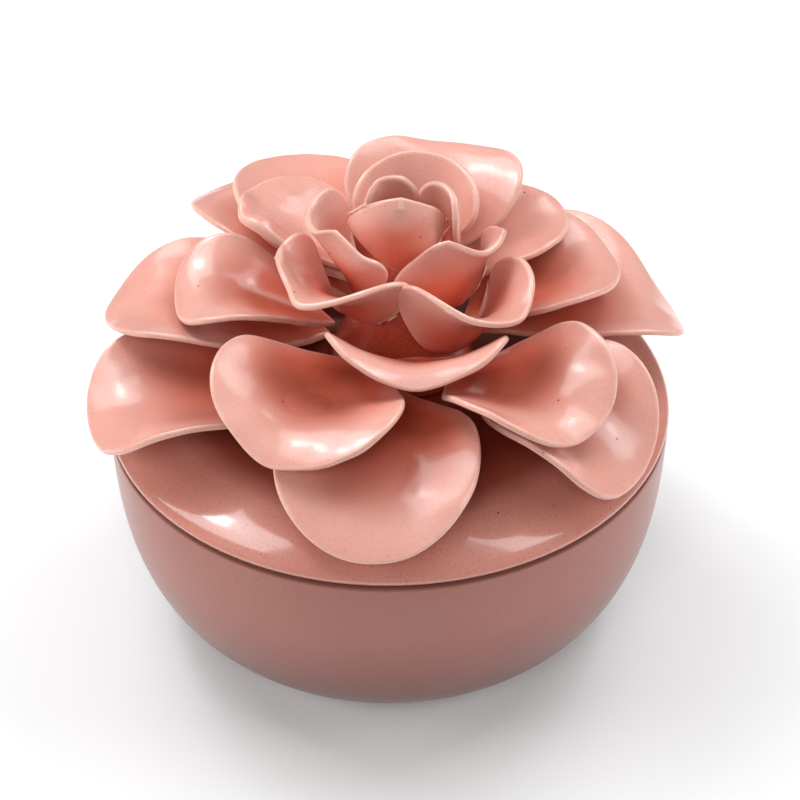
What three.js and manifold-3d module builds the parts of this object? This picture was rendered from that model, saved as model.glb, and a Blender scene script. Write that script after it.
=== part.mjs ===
// Round powder jar: a squat bowl, a lid that lifts off, and a flower of hand-made petals on the lid.
// Millimetres, +Z up. The origin is the centre of the bowl's flat foot, and the front is -Y.
import * as THREE from 'three';
import { mergeVertices } from 'three/addons/utils/BufferGeometryUtils.js';
import Module from 'manifold-3d';

// Driving dimensions of the bowl.
const JAR_RADIUS = 70; // outside radius of the bowl's rim and of the lid
const BOWL_HEIGHT = 60; // foot to rim
const BOWL_WALL = 4.5;
const BOWL_FLOOR = 5;
const FOOT_RADIUS = 29;
const FOOT_STEP = 1.2; // the foot stands this far below the round of the bowl
const BOWL_FULLNESS = 2.8; // exponent of the bowl's round: 2 is an ellipse, more is squarer
const RIM_WIDTH = 7; // flat ring that the lid rests on
const RIM_DEPTH = 7; // depth of that ring before the wall curves away
const RIM_ROUND = 1.2; // rounding of the bowl's and the lid's outer corners

// Driving dimensions of the lid.
const SEAT_GAP = 0.3; // between the lid and the rim it rests on
const LID_HEIGHT = 9; // from the underside of its edge to its crown
const LID_FULLNESS = 2.4; // exponent of the lid's top: 2 is an ellipse, more is flatter
const LID_PLATE = 4.5; // thickness of the lid at its crown
const FLANGE_DEPTH = 6.5; // ring under the lid that drops into the bowl's mouth
const FLANGE_WALL = 4;
const FLANGE_CLEARANCE = 0.8; // radial play between that ring and the mouth

// Driving dimensions of the flower.
const PETAL_THICKNESS = 2;
const PETAL_CLEARANCE = 0.15; // least distance from one petal to another and to the lid
const LUTE_GAP = 0.3; // where a petal's root meets the boss, and the boss meets the lid
const BOSS_RADIUS = 19; // mound of clay that the petals are stuck to
const BOSS_HEIGHT = 33;
const FLOWER_OFFSET = new THREE.Vector2(3, 4); // the flower was set a little off centre
const FLOWER_SCALE = JAR_RADIUS / 70; // the petal sizes below are for a jar of radius 70

const ROUND_STEPS = 48; // facets around the bowl and the lid
const PETAL_CELLS = 8; // cells along and across a petal

const degrees = Math.PI / 180;
const lidBottom = BOWL_HEIGHT + SEAT_GAP;
const lidTop = lidBottom + LID_HEIGHT;
const mouthRadius = JAR_RADIUS - RIM_WIDTH;

const wasm = await Module();
wasm.setup();

const glaze = {
  bowl: new THREE.MeshStandardMaterial({ color: 0xcf8f84, roughness: 0.22, metalness: 0 }),
  lid: new THREE.MeshStandardMaterial({ color: 0xd9968a, roughness: 0.15, metalness: 0 }),
  petal: new THREE.MeshStandardMaterial({ color: 0xe7aba0, roughness: 0.15, metalness: 0 }),
};

const jar = new THREE.Group();

function add(name, geometry, material) {
  const mesh = new THREE.Mesh(geometry, material);
  mesh.name = name;
  jar.add(mesh);
  return mesh;
}

const mix = (a, b, t) => a + (b - a) * t;
const clamp = (t) => Math.min(Math.max(t, 0), 1);
const ease = (t) => t * t * (3 - 2 * t);

// ---- Bowl, lid and boss: bodies of revolution ----

// A body of revolution about Z from [radius, height] points, listed upwards on the outside.
function turned(points, steps = ROUND_STEPS) {
  const outline = points.map(([r, z]) => new THREE.Vector2(Math.max(r, 0), z));
  const geometry = new THREE.LatheGeometry(outline, steps);
  geometry.rotateX(Math.PI / 2);
  geometry.deleteAttribute('normal');
  geometry.deleteAttribute('uv');
  return mergeVertices(geometry, 1e-4);
}

// Points on a round from one angle to another about (r, z).
function round(r, z, radius, from, to, steps = 3) {
  return Array.from({ length: steps + 1 }, (_, i) => {
    const a = mix(from, to, i / steps) * degrees;
    return [r + radius * Math.cos(a), z + radius * Math.sin(a)];
  });
}

// The bowl's round from the foot up to the rim, `inset` inside its outer face.
function bowlRound(inset, bottom, top, foot, steps = 11) {
  return Array.from({ length: steps + 1 }, (_, i) => {
    const a = (i / steps) * 90 * degrees;
    const across = Math.sin(a) ** (2 / BOWL_FULLNESS);
    const up = 1 - Math.cos(a) ** (2 / BOWL_FULLNESS);
    return [mix(foot, JAR_RADIUS - inset, across), mix(bottom, top, up)];
  });
}

function makeBowl() {
  const outside = bowlRound(0, FOOT_STEP, BOWL_HEIGHT - RIM_ROUND, FOOT_RADIUS + 1);
  const corner = round(JAR_RADIUS - RIM_ROUND, BOWL_HEIGHT - RIM_ROUND, RIM_ROUND, 0, 90);
  const ringBottom = BOWL_HEIGHT - RIM_DEPTH;
  const inside = bowlRound(BOWL_WALL, BOWL_FLOOR, ringBottom - 3, FOOT_RADIUS - BOWL_WALL);
  return turned([
    [0, 0],
    [FOOT_RADIUS, 0],
    [FOOT_RADIUS + 0.4, FOOT_STEP / 2],
    ...outside,
    ...corner.slice(1),
    [mouthRadius + 0.8, BOWL_HEIGHT],
    [mouthRadius, BOWL_HEIGHT - 0.8],
    [mouthRadius, ringBottom],
    ...inside.reverse(),
    [0, BOWL_FLOOR],
  ]);
}

// Height of the lid's top face at a radius: one curve from the crown to the rounded edge.
function lidHeight(r) {
  const share = clamp(r / JAR_RADIUS) ** LID_FULLNESS;
  return lidBottom + RIM_ROUND + (LID_HEIGHT - RIM_ROUND) * Math.sqrt(1 - share);
}

function makeLid() {
  const flangeOuter = mouthRadius - FLANGE_CLEARANCE;
  const flangeInner = flangeOuter - FLANGE_WALL;
  const flangeBottom = lidBottom - FLANGE_DEPTH;
  const top = Array.from({ length: 17 }, (_, i) => {
    const a = (1 - i / 16) * 90 * degrees;
    const r = JAR_RADIUS * Math.sin(a) ** (2 / LID_FULLNESS);
    return [r, lidHeight(r)];
  });
  const recess = [0, 0.5, 1].map((share) => {
    const r = (flangeInner - 3) * share;
    return [r, lidHeight(r) - LID_PLATE];
  });
  return turned([
    ...recess,
    [flangeInner, lidBottom - 1.5],
    [flangeInner, flangeBottom + 1],
    [flangeInner + 1, flangeBottom],
    [flangeOuter - 1, flangeBottom],
    [flangeOuter, flangeBottom + 1],
    [flangeOuter, lidBottom],
    [JAR_RADIUS - RIM_ROUND, lidBottom],
    [JAR_RADIUS - RIM_ROUND * 0.3, lidBottom + RIM_ROUND * 0.3],
    ...top,
  ]);
}

// The boss is a mound. Its radius at a height above the lid's crown gives each root its place.
const bossRadius = BOSS_RADIUS * FLOWER_SCALE;
const bossHeight = BOSS_HEIGHT * FLOWER_SCALE;
const bossDip = 1.2; // its widest ring would lie this far below the crown
function bossRadiusAt(height) {
  const share = clamp((height + bossDip) / bossHeight);
  return bossRadius * (1 - share ** 1.1) ** 0.8;
}

function makeBoss() {
  const heights = Array.from({ length: 9 }, (_, i) => {
    return mix(LUTE_GAP + 0.6, bossHeight - bossDip, (i / 9) ** 0.8);
  });
  return turned([
    [0, LUTE_GAP],
    [bossRadiusAt(LUTE_GAP) - 0.6, LUTE_GAP],
    ...heights.map((z) => [bossRadiusAt(z), z]),
    [0, bossHeight - bossDip],
  ], 32);
}

// ---- Petals ----

// The middle line of a petal from its root to its tip, as a cubic curve in the upright plane
// through the petal: x is the distance from the flower's axis and y the height.
function middleLine(p) {
  const rise = p.rise * degrees;
  const fall = p.fall * degrees;
  const start = new THREE.Vector2(p.rootRadius, p.seat);
  const end = new THREE.Vector2(p.reach, p.height);
  const pull = 0.38 * start.distanceTo(end);
  const curve = new THREE.CubicBezierCurve(
    start,
    new THREE.Vector2(start.x + pull * Math.cos(rise), start.y + pull * Math.sin(rise)),
    new THREE.Vector2(end.x - pull * Math.cos(fall), end.y - pull * Math.sin(fall)),
    end,
  );
  const length = curve.getLength();
  return (u) => {
    const forward = curve.getTangent(Math.min(u, 1));
    const at = curve.getPoint(Math.min(u, 1));
    if (u > 1) at.addScaledVector(forward, (u - 1) * length);
    return { at, forward };
  };
}

// A point of a petal. across and along run from -1 to 1 and are rounded off to the petal's outline;
// lift moves the point along the surface normal. x is outwards, y sideways, z up.
function petalPoint(p, line, across, along, lift) {
  const x = across * Math.sqrt(1 - (along * along) / 2);
  const y = along * Math.sqrt(1 - (across * across) / 2);
  const fromCentre = Math.min(Math.hypot(x, y), 1);
  const u = ((y + 1) / 2) ** p.crest;
  const around = Math.atan2(x, y);

  const taper = mix(p.neck, 1, Math.sin(clamp(u / p.full) * 90 * degrees));
  const half = p.width / 2;
  const side = x * half * taper;
  const point = p.point * Math.exp(-((x / 0.25) ** 2)) * Math.max(u - 0.7, 0) ** 1.5;
  const { at, forward } = line(u + point);

  // Cross section: an arc, deep at the root and opening towards the tip, with its rim turned back.
  const hollow = mix(p.cup, p.open, ease(clamp(u * 1.1))) * degrees;
  const angle = hollow * (side / half);
  const spread = (half / hollow) * Math.sin(angle);
  const sink = (half / hollow) * (1 - Math.cos(angle));
  const rim = fromCentre ** 4 * ease(clamp((u - 0.15) / 0.5));
  const wave = p.wave * fromCentre ** 3 * Math.sin(p.waves * around + p.phase * degrees);
  const height = sink - p.lip * rim + wave * ease(clamp(u * 1.6)) + lift * Math.cos(angle);
  const sideways = spread - lift * Math.sin(angle);

  // Roll about the middle line, sway of the tip to one side, then yaw about the root.
  const roll = p.roll * degrees * ease(clamp(u * 1.3));
  const aside = sideways * Math.cos(roll) - height * Math.sin(roll) + p.sway * u * u;
  const raised = sideways * Math.sin(roll) + height * Math.cos(roll);
  const out = at.x - raised * forward.y - p.rootRadius;
  const yaw = p.yaw * degrees;
  return [
    p.rootRadius + out * Math.cos(yaw) - aside * Math.sin(yaw),
    out * Math.sin(yaw) + aside * Math.cos(yaw),
    at.y + raised * forward.x,
  ];
}

// A closed petal in the flower's frame: an inner skin, an outer skin and the rim between them.
function petalGeometry(p, thickness) {
  const n = PETAL_CELLS + 1;
  const line = middleLine(p);
  const positions = [];
  for (const lift of [thickness / 2, -thickness / 2]) {
    for (let j = 0; j < n; j++) {
      for (let i = 0; i < n; i++) {
        const across = (2 * i) / PETAL_CELLS - 1;
        const along = (2 * j) / PETAL_CELLS - 1;
        positions.push(...petalPoint(p, line, across, along, lift));
      }
    }
  }
  const index = [];
  const under = n * n;
  const quad = (a, b, c, d) => index.push(a, b, c, a, c, d);
  for (let j = 0; j < PETAL_CELLS; j++) {
    for (let i = 0; i < PETAL_CELLS; i++) {
      const a = j * n + i;
      quad(a, a + n, a + n + 1, a + 1);
      quad(under + a, under + a + 1, under + a + n + 1, under + a + n);
    }
  }
  const rim = [];
  for (let i = 0; i < PETAL_CELLS; i++) rim.push(i);
  for (let j = 0; j < PETAL_CELLS; j++) rim.push(j * n + PETAL_CELLS);
  for (let i = PETAL_CELLS; i > 0; i--) rim.push(PETAL_CELLS * n + i);
  for (let j = PETAL_CELLS; j > 0; j--) rim.push(j * n);
  rim.forEach((a, k) => {
    const b = rim[(k + 1) % rim.length];
    quad(a, b, under + b, under + a);
  });
  const geometry = new THREE.BufferGeometry();
  geometry.setAttribute('position', new THREE.Float32BufferAttribute(positions, 3));
  geometry.setIndex(index);
  return geometry.rotateZ((p.turn - 90) * degrees);
}

// Each row of petals shares a shape, and each petal has its own turn and its own differences.
// Lengths are millimetres, heights are above the lid's crown, and angles are degrees.
//   turn    direction of the petal, from the front (0) towards +X (90)
//   seat    height of the root on the boss
//   reach   distance of the tip from the flower's axis, and height its height
//   rise    slope of the middle line at the root, and fall its slope at the tip
//   neck    width of the root as a share of the width, which is reached at the share `full`
//   crest   below 1 moves the widest part towards the tip
//   cup     bend across the petal at the root, and open the bend at the tip
//   lip     how far the rim turns back
//   point   how far the tip is drawn out
//   wave    height of the rim's waves, with waves of them from phase
//   roll    tilt about the middle line; sway moves the tip sideways; yaw turns it about its root
const plain = {
  crest: 0.85, neck: 0.4, full: 0.6, cup: 50, open: 15, lip: 0, point: 0,
  wave: 0, waves: 3, phase: 0, roll: 0, sway: 0, yaw: 0,
};
const rows = {
  outer: {
    ...plain, seat: 2, reach: 72, height: -1, width: 48, rise: 12, fall: -25, neck: 0.32, cup: 30,
    open: 12,
  },
  middle: {
    ...plain, seat: 9, reach: 60, height: 11, width: 46, rise: 12, fall: -10, neck: 0.36, cup: 40,
    open: 18,
  },
  upper: {
    ...plain, seat: 15, reach: 45, height: 21, width: 42, rise: 30, fall: -10, cup: 40, open: 20,
  },
  crown: {
    ...plain, seat: 11, reach: 29, height: 27, width: 49, rise: 40, fall: 35, neck: 0.7, full: 0.5,
    crest: 0.55, cup: 78, open: 68,
  },
  inner: {
    ...plain, seat: 17, reach: 19, height: 34, width: 42, rise: 55, fall: 65, neck: 0.65, full: 0.5,
    crest: 0.55, cup: 75, open: 68,
  },
  bud: {
    ...plain, seat: 22, reach: 9, height: 44, width: 22, rise: 60, fall: 100, neck: 0.7, full: 0.5,
    crest: 0.5, cup: 75, open: 75,
  },
};

const petals = {
  outer_petal_front: {
    row: 'outer', turn: -6, seat: 3.5, reach: 75, height: -2, rise: 16, fall: -36, full: 0.35,
  },
  outer_petal_right: {
    row: 'outer', turn: 54, seat: 1.5, height: -1.5, width: 49, fall: -40, neck: 0.33, cup: 27,
    open: 42, sway: -8.5,
  },
  outer_petal_back_right: {
    row: 'outer', turn: 110, seat: 3, reach: 70, height: 4, width: 54, fall: -42, crest: 0.75,
    open: 32, lip: 1, point: 0.3, roll: 8, sway: -10, yaw: 2,
  },
  outer_petal_back: { row: 'outer', turn: 162, seat: 3, reach: 64, height: 4, width: 38 },
  outer_petal_rear: { row: 'outer', turn: -158, seat: 1.2, reach: 70, height: -2, width: 34 },
  outer_petal_back_left: {
    row: 'outer', turn: -112, seat: 1.3, reach: 79.5, width: 36.5, rise: 9.5, neck: 0.3,
  },
  outer_petal_left: {
    row: 'outer', turn: -64, seat: 1.4, reach: 80, height: -0.8, width: 51, rise: -7, fall: -35,
    neck: 0.28, crest: 0.72, cup: 18, open: 36, roll: 4.5, yaw: -3,
  },
  second_petal_left: {
    row: 'outer', turn: -100.5, seat: 4.5, reach: 73.5, height: 8.5, width: 46.5, rise: 2,
    fall: -36.5, neck: 0.27, full: 0.45, open: 20, point: 0.2, yaw: 6,
  },
  second_petal_back_left: {
    row: 'outer', turn: -138, seat: 7.7, reach: 76.5, height: 12.7, width: 28.5, rise: 11.5,
    fall: -33, neck: 0.28, point: 0.2, roll: -1.5, sway: 3,
  },
  middle_petal_front_left: {
    row: 'middle', turn: -28.5, reach: 63, height: 12, width: 50, rise: 4, fall: -38, neck: 0.34,
    full: 0.55, cup: 43, open: 20, point: 0.2, roll: -3.5, sway: 3.5, yaw: -3.5,
  },
  middle_petal_front_right: {
    row: 'middle', turn: 39, seat: 5, reach: 64, height: 12.2, width: 45, rise: 15, fall: -29,
    neck: 0.33, full: 0.55, open: 50, roll: 4, sway: -1.5, yaw: 5,
  },
  middle_petal_right: {
    row: 'middle', turn: 101.5, reach: 57, height: 17, width: 42, rise: 23, fall: -26, full: 0.4,
    cup: 44, open: 21, roll: 2, sway: 4, yaw: 6,
  },
  middle_petal_back: {
    row: 'middle', turn: 168.5, seat: 6.5, reach: 54, height: 12, width: 44, rise: 10, fall: -12,
    roll: -4, yaw: -1.5,
  },
  middle_petal_back_left: {
    row: 'middle', turn: -153.5, seat: 12.8, reach: 66.5, height: 23.7, width: 47.5, rise: 11,
    fall: 0.5, neck: 0.32, full: 0.5, crest: 0.95, cup: 30, roll: 8, yaw: 6,
  },
  middle_petal_left: {
    row: 'middle', turn: -93.5, reach: 56, height: 17, width: 36.5, rise: 23, fall: -41, full: 0.75,
    crest: 0.7, cup: 70, open: 32, lip: 1, roll: -6, yaw: 7,
  },
  upper_petal_front: {
    row: 'upper', turn: 13, seat: 10, reach: 41, height: 21.3, width: 46.5, rise: 4.5, fall: -29,
    open: 38, point: 0.3, roll: -1.5, yaw: -13,
  },
  upper_petal_right: {
    row: 'upper', turn: 124, seat: 15.1, reach: 50.4, height: 25.8, width: 27.5, rise: 26.5,
    fall: -9, neck: 0.3, crest: 0.75, roll: 9, sway: 3, yaw: -1,
  },
  upper_petal_left: {
    row: 'upper', turn: -141, seat: 16.3, reach: 49.5, height: 30, width: 31.5, fall: 20, neck: 0.3,
    crest: 0.55, roll: 2, yaw: 16,
  },
  crown_petal_left: {
    row: 'crown', turn: -63.5, seat: 16, reach: 28.3, height: 29.9, width: 48, rise: 39.5,
    fall: 19.5, neck: 0.67, crest: 0.93, open: 65, lip: 1, point: 0.55, roll: 6.5, yaw: 15,
  },
  crown_petal_right: {
    row: 'crown', turn: 54.5, seat: 9.2, reach: 35, height: 28.1, width: 45, rise: 32, fall: 12,
    neck: 0.66, crest: 1, cup: 88, open: 76, lip: 0.3, point: 0.7, yaw: -12.5,
  },
  crown_petal_back: {
    row: 'crown', turn: 164.5, seat: 18.2, reach: 44.7, height: 37.8, width: 48.5, rise: 17,
    fall: 12, neck: 0.44, full: 0.4, crest: 0.7, cup: 40, open: 38, lip: 1.5, sway: -3, yaw: 2,
  },
  inner_petal_left: {
    row: 'inner', turn: -87, seat: 19, reach: 21, height: 41.5, width: 41, rise: 78, fall: 74,
    crest: 0.7, lip: 1.4, roll: -4, sway: -1.5, yaw: 18,
  },
  inner_petal_right: {
    row: 'inner', turn: 65, seat: 17.4, reach: 19.3, height: 34.7, width: 36.5, rise: 35, fall: 33,
    neck: 0.61, crest: 1, cup: 40, open: 78, roll: -0.5, sway: 7, yaw: -24.5,
  },
  inner_petal_back: {
    row: 'inner', turn: 168, seat: 21.5, reach: 29, height: 42.5, width: 37, rise: 22, fall: 56,
    crest: 0.92, cup: 60, open: 57, roll: 4,
  },
  bud_petal_front: {
    row: 'bud', turn: -4, seat: 28.4, reach: 0.5, height: 46.3, width: 31, rise: 62, fall: 138,
    roll: 4, yaw: 4,
  },
  bud_petal_back_right: {
    row: 'bud', turn: 117.5, seat: 21.3, reach: 12.4, height: 46.3, width: 20, neck: 0.75, cup: 50,
    open: 50, yaw: 2.5,
  },
  bud_petal_back_left: {
    row: 'bud', turn: -160, seat: 24, reach: 8, height: 48, width: 16, cup: 50, open: 50,
  },
};

const lengths = ['seat', 'reach', 'height', 'width', 'lip', 'wave', 'sway'];

function petalSizes(own) {
  const p = { ...rows[own.row], ...own };
  lengths.forEach((key) => {
    p[key] *= FLOWER_SCALE;
  });
  const rise = p.rise * degrees;
  const half = PETAL_THICKNESS / 2;
  p.rootRadius = bossRadiusAt(p.seat - half * Math.cos(rise)) + LUTE_GAP + half * Math.sin(rise);
  return p;
}

function toSolid(geometry) {
  return new wasm.Manifold(new wasm.Mesh({
    numProp: 3,
    vertProperties: geometry.attributes.position.array,
    triVerts: Uint32Array.from(geometry.index.array),
  }));
}

function toGeometry(solid) {
  const mesh = solid.getMesh();
  const geometry = new THREE.BufferGeometry();
  geometry.setAttribute('position', new THREE.BufferAttribute(mesh.vertProperties, 3));
  geometry.setIndex(new THREE.BufferAttribute(mesh.triVerts, 1));
  return geometry;
}

const lidGeometry = makeLid();
add('bowl', makeBowl(), glaze.bowl);
add('lid', lidGeometry, glaze.lid);

const flower = new THREE.Group();
flower.position.set(FLOWER_OFFSET.x, FLOWER_OFFSET.y, lidTop);
jar.add(flower);

const boss = new THREE.Mesh(makeBoss(), glaze.petal);
boss.name = 'flower_boss';
flower.add(boss);

// Petals are laid from the lid upwards. One that comes closer than the clearance to the lid or to a
// petal already laid is cut back by it, and its largest piece is kept.
const lidInFlower = lidGeometry.clone().translate(-FLOWER_OFFSET.x, -FLOWER_OFFSET.y, -lidTop);
const lidGrown = toSolid(lidInFlower.translate(0, 0, PETAL_CLEARANCE));
const laid = [lidGrown];
Object.entries(petals).forEach(([name, own]) => {
  const p = petalSizes(own);
  let geometry = petalGeometry(p, PETAL_THICKNESS);
  let solid = toSolid(geometry);
  for (const below of laid) {
    if (solid.intersect(below).volume() < 0.001) continue;
    const pieces = solid.subtract(below).decompose();
    solid = pieces.reduce((a, b) => (b.volume() > a.volume() ? b : a));
    geometry = toGeometry(solid);
  }
  laid.push(toSolid(petalGeometry(p, PETAL_THICKNESS + 2 * PETAL_CLEARANCE)));
  const petal = new THREE.Mesh(geometry, glaze.petal);
  petal.name = name;
  flower.add(petal);
});

export default jar;
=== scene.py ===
# Round powder jar with a flower of petals on its lid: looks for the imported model.
# Metres, +Z up, the front is -Y. Sizes in the dictionaries are millimetres unless they say otherwise.
import math
import bpy
import bmesh
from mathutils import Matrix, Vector, kdtree


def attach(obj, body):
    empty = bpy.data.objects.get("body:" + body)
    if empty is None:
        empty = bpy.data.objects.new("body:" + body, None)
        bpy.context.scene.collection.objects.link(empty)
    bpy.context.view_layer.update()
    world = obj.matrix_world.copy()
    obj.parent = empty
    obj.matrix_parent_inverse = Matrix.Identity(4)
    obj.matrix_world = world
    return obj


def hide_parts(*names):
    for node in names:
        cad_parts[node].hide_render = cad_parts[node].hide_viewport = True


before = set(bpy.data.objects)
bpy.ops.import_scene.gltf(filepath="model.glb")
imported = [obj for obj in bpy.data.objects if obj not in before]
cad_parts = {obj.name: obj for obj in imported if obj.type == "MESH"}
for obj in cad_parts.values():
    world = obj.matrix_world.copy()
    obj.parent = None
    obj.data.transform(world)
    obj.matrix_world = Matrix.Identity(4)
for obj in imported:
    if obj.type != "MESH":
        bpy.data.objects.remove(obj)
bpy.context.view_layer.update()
print("frame loaded:", len(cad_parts), "nodes")

scene = bpy.context.scene
mm = 0.001


def deselectAll():
    if bpy.context.object and bpy.context.object.mode != "OBJECT":
        bpy.ops.object.mode_set(mode="OBJECT")
    bpy.ops.object.select_all(action="DESELECT")


def makeActive(piece):
    deselectAll()
    piece.select_set(True)
    bpy.context.view_layer.objects.active = piece


def applyAll(piece):
    makeActive(piece)
    for modifier in list(piece.modifiers):
        bpy.ops.object.modifier_apply(modifier=modifier.name)


def settle(piece, name, body, replaced, material):
    # the place goes into the mesh, then the piece rides on its body and stands for its node
    makeActive(piece)
    bpy.ops.object.transform_apply(location=True, rotation=True, scale=True)
    piece.name = name
    piece.data.name = name
    piece.data.materials.clear()
    piece.data.materials.append(material)
    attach(piece, body)
    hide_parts(replaced)


cameraView = {
    "target": (2.75, 0.0, 58.41),
    "distance": 450.0,
    "elevation": 38.06,  # degrees above the table
    "lens": 80.1,  # on a 36 mm sensor
}


def placeCamera():
    rise = math.radians(cameraView["elevation"])
    x, y, z = cameraView["target"]
    away = cameraView["distance"]
    spot = Vector((x, y - away * math.cos(rise), z + away * math.sin(rise)))
    bpy.ops.object.camera_add(location=spot * mm, rotation=(math.pi / 2 - rise, 0, 0))
    camera = bpy.context.object
    camera.data.lens = cameraView["lens"]
    camera.data.sensor_width = 36
    camera.data.clip_start = 0.01
    scene.camera = camera


studio = {
    "aim": (0, 0, 70),  # every light faces this point
    "windowColour": (0.94, 0.97, 1.0),
    "fillColour": (1, 1, 1),
    "world": 0.07,
    "floorColour": (0.9, 0.9, 0.9, 1),
    "floorRoughness": 0.6,
}

# each light: its place, width and height in millimetres and its power in watts; the glaze mirrors the
# windows and not the fills
softboxes = {
    "leftWindow": {"place": (-340, 240, 660), "size": (480, 420), "power": 2.55, "mirrored": True},
    "rightWindow": {"place": (340, 240, 660), "size": (480, 420), "power": 2.4, "mirrored": True},
    "leftPane": {"place": (-285, 200, 560), "size": (90, 120), "power": 0.45, "mirrored": True},
    "rightPane": {"place": (285, 200, 560), "size": (90, 70), "power": 0.2, "mirrored": True},
    "leftFill": {"place": (-900, -60, 300), "size": (500, 420), "power": 4.6, "mirrored": False},
    "rightFill": {"place": (900, 0, 300), "size": (500, 420), "power": 4.0, "mirrored": False},
    "topFill": {"place": (-120, 60, 1100), "size": (600, 500), "power": 1.7, "mirrored": False},
    "frontFill": {"place": (-80, -820, 740), "size": (600, 400), "power": 3.8, "mirrored": False},
}


def placeLights():
    for name, box in softboxes.items():
        spot = Vector(box["place"])
        aim = Vector(studio["aim"]) - spot
        bpy.ops.object.light_add(type="AREA", location=spot * mm)
        lamp = bpy.context.object
        lamp.name = name
        lamp.rotation_euler = aim.to_track_quat("-Z", "Y").to_euler()
        lamp.data.shape = "RECTANGLE"
        lamp.data.size = box["size"][0] * mm
        lamp.data.size_y = box["size"][1] * mm
        lamp.data.energy = box["power"]
        lamp.data.color = studio["windowColour"] if box["mirrored"] else studio["fillColour"]
        lamp.visible_glossy = box["mirrored"]
    world = bpy.data.worlds.new("studio")
    world.use_nodes = True
    sky = world.node_tree.nodes["Background"]
    sky.inputs["Color"].default_value = (1, 1, 1, 1)
    sky.inputs["Strength"].default_value = studio["world"]
    scene.world = world


def placeFloor():
    bpy.ops.mesh.primitive_plane_add(size=8, location=(0, 0, 0))
    floor = bpy.context.object
    floor.name = "floor"
    material = bpy.data.materials.new("paleTable")
    material.use_nodes = True
    shader = material.node_tree.nodes["Principled BSDF"]
    shader.inputs["Base Color"].default_value = studio["floorColour"]
    shader.inputs["Roughness"].default_value = studio["floorRoughness"]
    floor.data.materials.append(material)


placeCamera()
placeLights()
placeFloor()
scene.view_settings.view_transform = "Standard"
print("camera, lights and floor placed")


def addNode(tree, kind, place, **values):
    node = tree.nodes.new(kind)
    node.location = place
    for key, value in values.items():
        if hasattr(node, key):
            setattr(node, key, value)
        else:
            node.inputs[key].default_value = value
    return node


def mixColours(tree, amount, first, second, place):
    node = addNode(tree, "ShaderNodeMix", place, data_type="RGBA")
    tree.links.new(amount, node.inputs[0])
    for socket, value in ((node.inputs[6], first), (node.inputs[7], second)):
        if isinstance(value, tuple):
            socket.default_value = (*value, 1)
        else:
            tree.links.new(value, socket)
    return node.outputs[2]


def ramp(tree, value, stops, place):
    node = addNode(tree, "ShaderNodeValToRGB", place)
    band = node.color_ramp
    while len(band.elements) < len(stops):
        band.elements.new(0.5)
    for element, (at, level) in zip(band.elements, stops):
        element.position = at
        element.color = (level, level, level, 1)
    tree.links.new(value, node.inputs[0])
    return node.outputs[0]


petalGlaze = {
    "body": (0.70, 0.335, 0.272),  # salmon pink over the faces
    "cloud": (0.73, 0.40, 0.335),  # where the glaze is thinner
    "deep": (0.70, 0.14, 0.075),  # coral near a root, partly where the glaze pools and partly painted shade
    "pool": (0.30, 0.062, 0.034),  # painted shade in the middle of a deep cup, duller and darker, partly the glaze pooling there
    "crevice": (0.28, 0.028, 0.014),  # painted shade, the reddest, in the cracks between the petals
    "rim": (0.80, 0.51, 0.41),  # cream where it breaks over a rim
    "ragged": 0.35,  # how far the edge of the cream wanders
    "pinhole": (0.16, 0.045, 0.025),
    "roughness": 0.2,
    "coat": 0.1,
}
lidGlaze = {
    "body": (0.60, 0.245, 0.19),
    "cloud": (0.63, 0.285, 0.225),
    # painted shade on the lid under the flower, darkest nearest to it
    "deep": (0.27, 0.05, 0.027),
    "crevice": (0.17, 0.022, 0.012),
    "pinhole": (0.16, 0.045, 0.025),
    "roughness": 0.16,
    "coat": 0.6,
}
bowlGlaze = {
    "body": (0.35, 0.122, 0.09),
    "cloud": (0.375, 0.14, 0.106),
    # painted shade, darker towards the bottom and over the edge of the rim where the lid sits
    "deep": (0.15, 0.058, 0.047),
    "crevice": (0.13, 0.05, 0.04),
    "pinhole": (0.12, 0.035, 0.02),
    "roughness": 0.3,
    "coat": 0.1,
}


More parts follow.
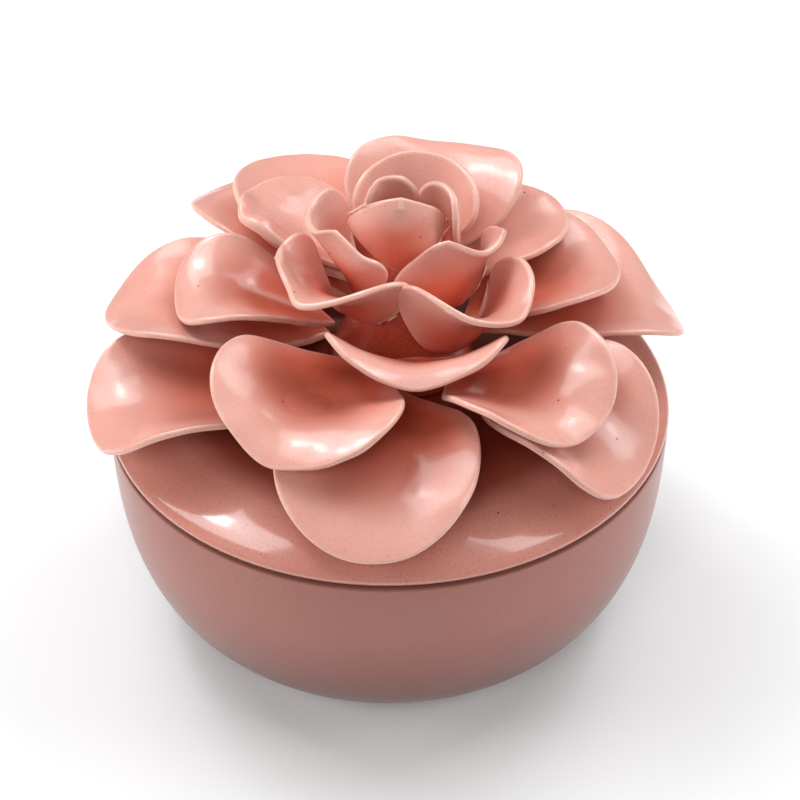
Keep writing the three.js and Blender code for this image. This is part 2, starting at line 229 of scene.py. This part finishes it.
def makeGlaze(name, look):
    material = bpy.data.materials.new(name)
    material.use_nodes = True
    tree = material.node_tree
    tree.nodes.clear()
    link = tree.links.new
    output = addNode(tree, "ShaderNodeOutputMaterial", (900, 0))
    shader = addNode(tree, "ShaderNodeBsdfPrincipled", (600, 0))
    link(shader.outputs[0], output.inputs[0])
    place = addNode(tree, "ShaderNodeTexCoord", (-1400, 0)).outputs["Object"]

    # thick and thin glaze: wide soft clouds of a paler tone
    clouds = addNode(tree, "ShaderNodeTexNoise", (-1100, 200), Scale=38.0, Detail=3.0, Roughness=0.55)
    link(place, clouds.inputs["Vector"])
    cloudShare = ramp(tree, clouds.outputs["Fac"], ((0.38, 0.0), (0.68, 0.7)), (-900, 200))
    colour = mixColours(tree, cloudShare, look["body"], look["cloud"], (-600, 200))

    # painted shade in the hollows, and the reddest painted shade in the crevices; on a petal the coral near
    # its root is partly the glaze pooling
    hollow = addNode(tree, "ShaderNodeAttribute", (-1100, -100), attribute_name="hollow")
    poolingAndShadeShare = ramp(tree, hollow.outputs["Fac"], ((0.06, 0.0), (0.46, 0.88), (1.0, 1.0)), (-900, -100))
    colour = mixColours(tree, poolingAndShadeShare, colour, look["deep"], (-400, 150))
    creviceShadeShare = ramp(tree, hollow.outputs["Fac"], ((0.5, 0.0), (0.95, 0.92)), (-900, -200))
    colour = mixColours(tree, creviceShadeShare, colour, look["crevice"], (-300, 120))

    # on a petal, painted shade also darkens the middle of the cup, partly the glaze pooling there, and the
    # glaze breaks to a ragged cream over the rim
    if "pool" in look:
        pool = addNode(tree, "ShaderNodeAttribute", (-1100, -250), attribute_name="pool")
        colour = mixColours(tree, pool.outputs["Fac"], colour, look["pool"], (-250, 120))
    if "rim" in look:
        rim = addNode(tree, "ShaderNodeAttribute", (-1100, -300), attribute_name="rim")
        ragged = addNode(tree, "ShaderNodeTexNoise", (-1100, -500), Scale=260.0, Detail=2.0)
        link(place, ragged.inputs["Vector"])
        rimSum = addNode(tree, "ShaderNodeMath", (-900, -300), operation="MULTIPLY_ADD")
        link(ragged.outputs["Fac"], rimSum.inputs[0])
        rimSum.inputs[1].default_value = look["ragged"]
        link(rim.outputs["Fac"], rimSum.inputs[2])
        rimShare = ramp(tree, rimSum.outputs[0], ((0.6, 0.0), (1.1, 0.85)), (-700, -300))
        colour = mixColours(tree, rimShare, colour, look["rim"], (-200, 100))

    # fine speckle of the clay showing through, and a rare dark pinhole
    patches = addNode(tree, "ShaderNodeTexNoise", (-1100, -900), Scale=1900.0, Detail=1.0)
    link(place, patches.inputs["Vector"])
    speckleShare = ramp(tree, patches.outputs["Fac"], ((0.56, 0.0), (0.72, 0.26)), (-700, -800))
    colour = mixColours(tree, speckleShare, colour, look["deep"], (0, 100))
    pinholes = addNode(tree, "ShaderNodeTexVoronoi", (-1100, -1100), Scale=95.0)
    link(place, pinholes.inputs["Vector"])
    holeShare = ramp(tree, pinholes.outputs["Distance"], ((0.018, 1.0), (0.032, 0.0)), (-700, -1100))
    colour = mixColours(tree, holeShare, colour, look["pinhole"], (200, 100))
    link(colour, shader.inputs["Base Color"])

    # glossy, a little duller where thin, with a slight orange peel
    shader.inputs["IOR"].default_value = 1.52
    shader.inputs["Coat Weight"].default_value = look["coat"]
    shader.inputs["Coat Roughness"].default_value = 0.05
    dull = addNode(tree, "ShaderNodeMapRange", (300, -200))
    dull.inputs["To Min"].default_value = look["roughness"] - 0.04
    dull.inputs["To Max"].default_value = look["roughness"] + 0.08
    link(clouds.outputs["Fac"], dull.inputs["Value"])
    link(dull.outputs[0], shader.inputs["Roughness"])
    peel = addNode(tree, "ShaderNodeTexNoise", (-300, -500), Scale=420.0, Detail=2.0)
    link(place, peel.inputs["Vector"])
    bump = addNode(tree, "ShaderNodeBump", (300, -500), Strength=0.05, Distance=0.0004)
    link(peel.outputs["Fac"], bump.inputs["Height"])
    link(bump.outputs[0], shader.inputs["Normal"])
    return material


petalMaterial = makeGlaze("petalGlaze", petalGlaze)
lidMaterial = makeGlaze("lidGlaze", lidGlaze)
bowlMaterial = makeGlaze("bowlGlaze", bowlGlaze)
print("glazes mixed")


def paint(piece, layer, valueAt):
    # a value at each point, which the glaze reads by the layer's name
    attribute = piece.data.attributes.new(layer, "FLOAT", "POINT")
    values = [valueAt(vertex.index, vertex.co) for vertex in piece.data.vertices]
    attribute.data.foreach_set("value", values)


def clamp(value):
    return min(max(value, 0.0), 1.0)


def turnedPiece(profile, steps, centre=(0, 0)):
    # a disc at the first ring, then each next ring is extruded, scaled and lifted
    deselectAll()
    radius, height = profile[0]
    x, y = centre
    bpy.ops.mesh.primitive_circle_add(
        vertices=steps, radius=radius * mm, fill_type="NGON", location=(x * mm, y * mm, height * mm))
    piece = bpy.context.object
    bpy.ops.object.transform_apply(location=True)
    bpy.ops.object.mode_set(mode="EDIT")
    bpy.ops.mesh.select_mode(type="EDGE")
    bpy.ops.mesh.select_all(action="SELECT")
    middle = Vector((x, y, 0)) * mm
    for nextRadius, nextHeight in profile[1:]:
        bpy.ops.mesh.extrude_edges_move()
        share = nextRadius / radius
        bpy.ops.transform.resize(value=(share, share, 1), center_override=middle)
        bpy.ops.transform.translate(value=(0, 0, (nextHeight - height) * mm))
        radius, height = nextRadius, nextHeight
    bpy.ops.mesh.edge_face_add()
    bpy.ops.mesh.select_all(action="SELECT")
    bpy.ops.mesh.normals_make_consistent(inside=False)
    bpy.ops.object.mode_set(mode="OBJECT")
    return piece


def roundCorner(radius, height, size, start, end, steps=5):
    # points of a rounding about a centre, from one angle to another
    points = []
    for step in range(steps + 1):
        angle = math.radians(start + (end - start) * step / steps)
        points.append((radius + size * math.cos(angle), height + size * math.sin(angle)))
    return points


creaseAngle = math.radians(50)  # an edge that turns by more than this stays crisp

bowlShape = {
    "radius": 70.0,
    "height": 60.0,
    "wall": 4.5,
    "floor": 5.0,
    "foot": 29.0,
    "footStep": 1.2,
    "fullness": 2.8,  # 2 is an ellipse, more is squarer
    "rimWidth": 7.0,
    "rimDepth": 7.0,
    "rimRound": 1.2,
    "lipRound": 0.8,  # inner edge of the rim
    "around": 144,
    "rings": 34,
    "shadeHeight": 50.0,  # painted shade, darker below this height
    "shadeCurve": 1.3,
    "shade": 0.8,
    "edgeHeight": 1.2,  # and painted shade over the edge of the rim, where the lid sits
    "edgeShade": 0.7,
}


def bowlRound(inset, bottom, top, foot):
    power = 2 / bowlShape["fullness"]
    outer = bowlShape["radius"] - inset
    points = []
    for ring in range(bowlShape["rings"] + 1):
        angle = math.radians(90 * ring / bowlShape["rings"])
        across = math.sin(angle) ** power
        up = 1 - max(math.cos(angle), 0) ** power
        points.append((foot + (outer - foot) * across, bottom + (top - bottom) * up))
    return points


def makeBowl():
    shape = bowlShape
    foot, rim, corner, lip = shape["foot"], shape["height"], shape["rimRound"], shape["lipRound"]
    mouth = shape["radius"] - shape["rimWidth"]
    ledge = rim - shape["rimDepth"]
    inside = bowlRound(shape["wall"], shape["floor"], ledge - 3, foot - shape["wall"])
    profile = [(foot - 4, 0.5), (foot - 3.4, 0), (foot - 0.3, 0), (foot, 0.3), (foot + 0.3, 0.9)]
    profile += bowlRound(0, shape["footStep"], rim - corner, foot + 1)
    profile += roundCorner(shape["radius"] - corner, rim - corner, corner, 0, 90)[1:]
    profile += roundCorner(mouth + lip, rim - lip, lip, 90, 180, 4)
    profile += [(mouth, ledge)] + inside[::-1]
    bowl = turnedPiece(profile, shape["around"])
    makeActive(bowl)
    bpy.ops.object.shade_smooth_by_angle(angle=creaseAngle)

    # painted shade: darker towards the bottom, and over the edge of the rim
    def poolingAndShadeAt(index, co):
        low = clamp(1 - co.z / mm / shape["shadeHeight"]) ** shape["shadeCurve"] * shape["shade"]
        return low + clamp((co.z / mm - rim) / shape["edgeHeight"] + shape["edgeShade"])

    paint(bowl, "hollow", poolingAndShadeAt)
    settle(bowl, "bowlShell", "bowl", "bowl", bowlMaterial)


makeBowl()
print("bowl turned")

lidShape = {
    "seat": 0.3,  # gap to the bowl's rim
    "height": 9.0,
    "fullness": 2.4,
    "plate": 4.5,
    "flangeDepth": 6.5,
    "flangeWall": 4.0,
    "play": 0.8,
    "around": 144,
    "crownRings": 40,
    "shadeEdge": 57.0,  # painted shade, darker inside this radius, under the flower
    "shadeFade": 18.0,
}


def lidHeight(radius):
    base = bowlShape["height"] + lidShape["seat"] + bowlShape["rimRound"]
    share = clamp(radius / bowlShape["radius"]) ** lidShape["fullness"]
    return base + (lidShape["height"] - bowlShape["rimRound"]) * math.sqrt(1 - share)


def makeLid():
    shape, jar = lidShape, bowlShape["radius"]
    bottom = bowlShape["height"] + shape["seat"]
    corner = bowlShape["rimRound"]
    outer = jar - bowlShape["rimWidth"] - shape["play"]
    inner = outer - shape["flangeWall"]
    low = bottom - shape["flangeDepth"]
    profile = [(radius, lidHeight(radius) - shape["plate"]) for radius in (4, 14, 24, 34, 44, inner - 3)]
    profile += [(inner - 1, bottom - 0.6), (inner, bottom - 1.5), (inner, low + 1)]
    profile += roundCorner(inner + 1, low + 1, 1, 180, 270, 4)[1:]
    profile += roundCorner(outer - 1, low + 1, 1, 270, 360, 4)
    profile += [(outer, bottom - 0.4), (outer + 0.4, bottom), (jar - corner, bottom)]
    profile += [(jar - corner * 0.3, bottom + corner * 0.3)]
    for step in range(shape["crownRings"]):
        angle = math.radians(90 - 88 * step / (shape["crownRings"] - 1))
        radius = jar * math.sin(angle) ** (2 / shape["fullness"])
        profile.append((radius, lidHeight(radius)))
    lid = turnedPiece(profile, shape["around"])
    makeActive(lid)
    bpy.ops.object.shade_smooth_by_angle(angle=creaseAngle)

    # painted shade on the lid under the flower
    def poolingAndShadeAt(index, co):
        return clamp((shape["shadeEdge"] - co.xy.length / mm) / shape["shadeFade"])

    paint(lid, "hollow", poolingAndShadeAt)
    settle(lid, "lidPlate", "lid", "lid", lidMaterial)


makeLid()
print("lid turned")

bossShape = {
    "radius": 19.0,
    "height": 33.0,
    "dip": 1.2,
    "gap": 0.3,
    "centre": (3.0, 4.0),
    "around": 64,
    "rings": 18,
    "shade": 1.2,  # painted shade, darkest at the foot of the mound
    "shadeFade": 60.0,
}


def makeBoss():
    shape = bossShape
    crown = lidHeight(0)
    profile = []
    for ring in range(shape["rings"] + 1):
        share = (ring / shape["rings"]) ** 0.8
        height = shape["gap"] + 0.6 + (shape["height"] - shape["dip"] - shape["gap"] - 0.8) * share
        share = clamp((height + shape["dip"]) / shape["height"])
        profile.append((max(shape["radius"] * (1 - share ** 1.1) ** 0.8, 0.3), crown + height))
    profile.insert(0, (profile[0][0] - 0.6, crown + shape["gap"]))
    boss = turnedPiece(profile, shape["around"], shape["centre"])
    makeActive(boss)
    bpy.ops.object.shade_smooth()

    # painted shade, darkest low on the mound
    def poolingAndShadeAt(index, co):
        return clamp(shape["shade"] - (co.z / mm - crown) / shape["shadeFade"])

    paint(boss, "hollow", poolingAndShadeAt)
    settle(boss, "flowerBoss", "lid", "flower_boss", petalMaterial)


makeBoss()
print("boss turned")

petalFinish = {
    "rimThin": 0.3,  # the rim is pinched thinner by this much on each side
    "rimRound": 0.6,
    "detail": 2,
    "sharp": 48.0,  # an edge that turns by more degrees than this is the rim
    "rimStep": 0.5,
    "creamWidth": 2.2,  # how far the glaze breaks in from the rim
    "run": 0.88,  # share of a petal's length that the coral and painted shade run out from its root
    "unevenness": 1.5,  # how far the hand-rolled clay wanders up and down
    "unevenSize": 14.0,
    "hollowEdge": 0.35,  # share of the coral and painted shade that is left at the rim
    "hollowWidth": 7.0,
    "poolStart": 3.0,  # how far in from the rim a pool of painted shade, partly the glaze pooling, begins
    "poolWidth": 11.0,
    "poolFade": 2.3,  # how quickly a pool of painted shade gains strength from the tip inwards
}

# touches of the fingers on the wet clay: the spot that is held, how far it is pulled,
# and how far around it the clay follows
touches = {
    "middle_petal_front_left": (((-17, -34, 85), (0, 1, -4), 14),),
    "middle_petal_front_right": (((34, -28, 85), (0, 1, -2.2), 11),),
    "outer_petal_front": (((-2, -53, 76), (0, 0.5, -1.6), 11),),
    "middle_petal_left": (((-29, 5, 88), (0, 0, -2), 9),),
    "middle_petal_right": (((39, 10, 88), (0, 0, -1.5), 8),),
    "crown_petal_right": (((4, -17, 97), (-0.5, 0, 6.5), 17), ((26, -20, 98), (1.5, -1, -0.5), 5)),
    "crown_petal_left": (((-18, -15, 99), (-3, -1.5, -1.5), 9), ((-26, 6, 102), (-1, 0, -3), 7)),
    "inner_petal_left": (((-12, -9, 108), (0.5, 1, 4.5), 8), ((-14, 16, 110), (0, 0, 1.5), 5)),
    "inner_petal_right": (((13, -7, 105), (0, 0.5, 4.5), 11), ((26, 7, 106), (1, 0, 1.5), 4)),
    "bud_petal_front": (((2, 2, 116), (0.5, -0.8, 1.5), 5),),
    "upper_petal_left": (
        ((-30, 16, 99), (0.5, 0.5, 3.5), 8),
        ((-37, 28, 100), (1, 0, 2.5), 7),
        ((-25, 31, 97), (0, 0, 2.4), 6),
    ),
    "bud_petal_back_left": (((-1, 10, 117), (-1.4, -0.4, 0.2), 4),),
    "upper_petal_right": (((40, 33, 97), (0, 0, 1.8), 5), ((47, 27, 96), (0, 0, -1.2), 6)),
}

# how strong the painted shade is in the middle of a cupped petal, partly the glaze pooling there, 0 to 1
poolShades = {
    "middle_petal_front_left": 0.85,
    "middle_petal_front_right": 0.75,
    "middle_petal_left": 0.65,
    "middle_petal_right": 0.55,
    "outer_petal_front": 0.6,
    "outer_petal_left": 0.6,
    "outer_petal_right": 0.5,
    "upper_petal_front": 0.5,
}

# the back petals are pale nearly to their roots: share of the length that the coral and painted shade run
# out
runs = {"upper_petal_right": 0.5, "upper_petal_left": 0.6, "crown_petal_back": 0.6, "inner_petal_back": 0.7}


def pull(piece, spot, shift, reach):
    # one point is taken and moved, and what lies around it follows softly
    makeActive(piece)
    held = min(piece.data.vertices, key=lambda vertex: (vertex.co - Vector(spot) * mm).length).index
    bpy.ops.object.mode_set(mode="EDIT")
    bpy.ops.mesh.select_mode(type="VERT")
    bpy.ops.mesh.select_all(action="DESELECT")
    bpy.ops.object.mode_set(mode="OBJECT")
    piece.data.vertices[held].select = True
    bpy.ops.object.mode_set(mode="EDIT")
    bpy.ops.transform.translate(
        value=Vector(shift) * mm, use_proportional_edit=True, use_proportional_connected=True,
        proportional_edit_falloff="SMOOTH", proportional_size=reach * mm)
    bpy.ops.object.mode_set(mode="OBJECT")


def startPetal(node):
    # the node's own outline and place, its faces merged to quads
    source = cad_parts[node]
    piece = bpy.data.objects.new(node, source.data.copy())
    scene.collection.objects.link(piece)
    makeActive(piece)
    bpy.ops.object.mode_set(mode="EDIT")
    bpy.ops.mesh.select_mode(type="VERT")
    bpy.ops.mesh.select_all(action="SELECT")
    bpy.ops.mesh.remove_doubles(threshold=0.00002)
    bpy.ops.mesh.tris_convert_to_quads(face_threshold=math.radians(60), shape_threshold=math.radians(60))
    bpy.ops.object.mode_set(mode="OBJECT")
    if piece.data.has_custom_normals:
        bpy.ops.mesh.customdata_custom_splitnormals_clear()
    return piece


def roundPetal(piece):
    makeActive(piece)
    bpy.ops.object.mode_set(mode="EDIT")
    bpy.ops.mesh.select_all(action="DESELECT")
    bpy.ops.mesh.select_mode(type="EDGE")
    bpy.ops.mesh.edges_select_sharp(sharpness=math.radians(petalFinish["sharp"]))
    bpy.ops.transform.shrink_fatten(value=-petalFinish["rimThin"] * mm)
    bpy.ops.mesh.bevel(offset=petalFinish["rimRound"] * mm, segments=2, affect="EDGES")
    bpy.ops.object.mode_set(mode="OBJECT")
    smooth = piece.modifiers.new("smooth", "SUBSURF")
    smooth.levels = petalFinish["detail"]
    smooth.render_levels = petalFinish["detail"]
    wander = piece.modifiers.new("wander", "DISPLACE")
    wander.texture = clayTexture
    wander.texture_coords = "LOCAL"
    wander.direction = "Z"
    wander.strength = petalFinish["unevenness"] * mm
    applyAll(piece)
    bpy.ops.object.shade_smooth()


def rimTree(mesh):
    # points along the petal's edge: the corners where its faces turn sharply
    shell = bmesh.new()
    shell.from_mesh(mesh)
    points = []
    for edge in shell.edges:
        if len(edge.link_faces) == 2 and edge.calc_face_angle(0) > math.radians(petalFinish["sharp"]):
            start, end = edge.verts[0].co, edge.verts[1].co
            count = max(int((end - start).length / (petalFinish["rimStep"] * mm)), 1)
            points += [start.lerp(end, step / count) for step in range(count + 1)]
    shell.free()
    tree = kdtree.KDTree(len(points))
    for index, point in enumerate(points):
        tree.insert(point, index)
    tree.balance()
    return tree


def makePetal(node):
    piece = startPetal(node)
    for spot, shift, reach in touches.get(node, ()):
        pull(piece, spot, shift, reach)
    tree = rimTree(piece.data)
    roundPetal(piece)
    axis = Vector(bossShape["centre"]) * mm
    corners = [vertex.co.copy() for vertex in piece.data.vertices]
    root = min(corners, key=lambda co: (co.xy - axis).length + 0.7 * co.z)
    length = max((co - root).length for co in corners)
    reach = length * runs.get(node, petalFinish["run"])
    cream = petalFinish["creamWidth"] * mm

    def rimAt(index, co):
        return clamp(1 - tree.find(co)[2] / cream)

    # the coral near the root, partly the glaze pooling and partly painted shade, weaker near the rim
    def poolingAndShadeAt(index, co):
        inside = clamp(tree.find(co)[2] / mm / petalFinish["hollowWidth"])
        low = petalFinish["hollowEdge"]
        return clamp(1 - (co - root).length / reach) * (low + (1 - low) * inside)

    # painted shade in the middle of the cup, partly the glaze pooling
    def poolShadeAt(index, co):
        share = clamp((tree.find(co)[2] / mm - petalFinish["poolStart"]) / petalFinish["poolWidth"])
        nearness = clamp(petalFinish["poolFade"] * (1 - (co - root).length / length))
        return poolShades.get(node, 0) * share * share * (3 - 2 * share) * nearness

    paint(piece, "rim", rimAt)
    paint(piece, "pool", poolShadeAt)
    paint(piece, "hollow", poolingAndShadeAt)
    name = node.replace("_petal", "").replace("_", ".") + ".petal"
    settle(piece, name, "lid", node, petalMaterial)


clayTexture = bpy.data.textures.new("clay", "CLOUDS")
clayTexture.noise_scale = petalFinish["unevenSize"] * mm
clayTexture.noise_depth = 1
for node in sorted(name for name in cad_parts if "petal" in name):
    makePetal(node)
print("petals finished")
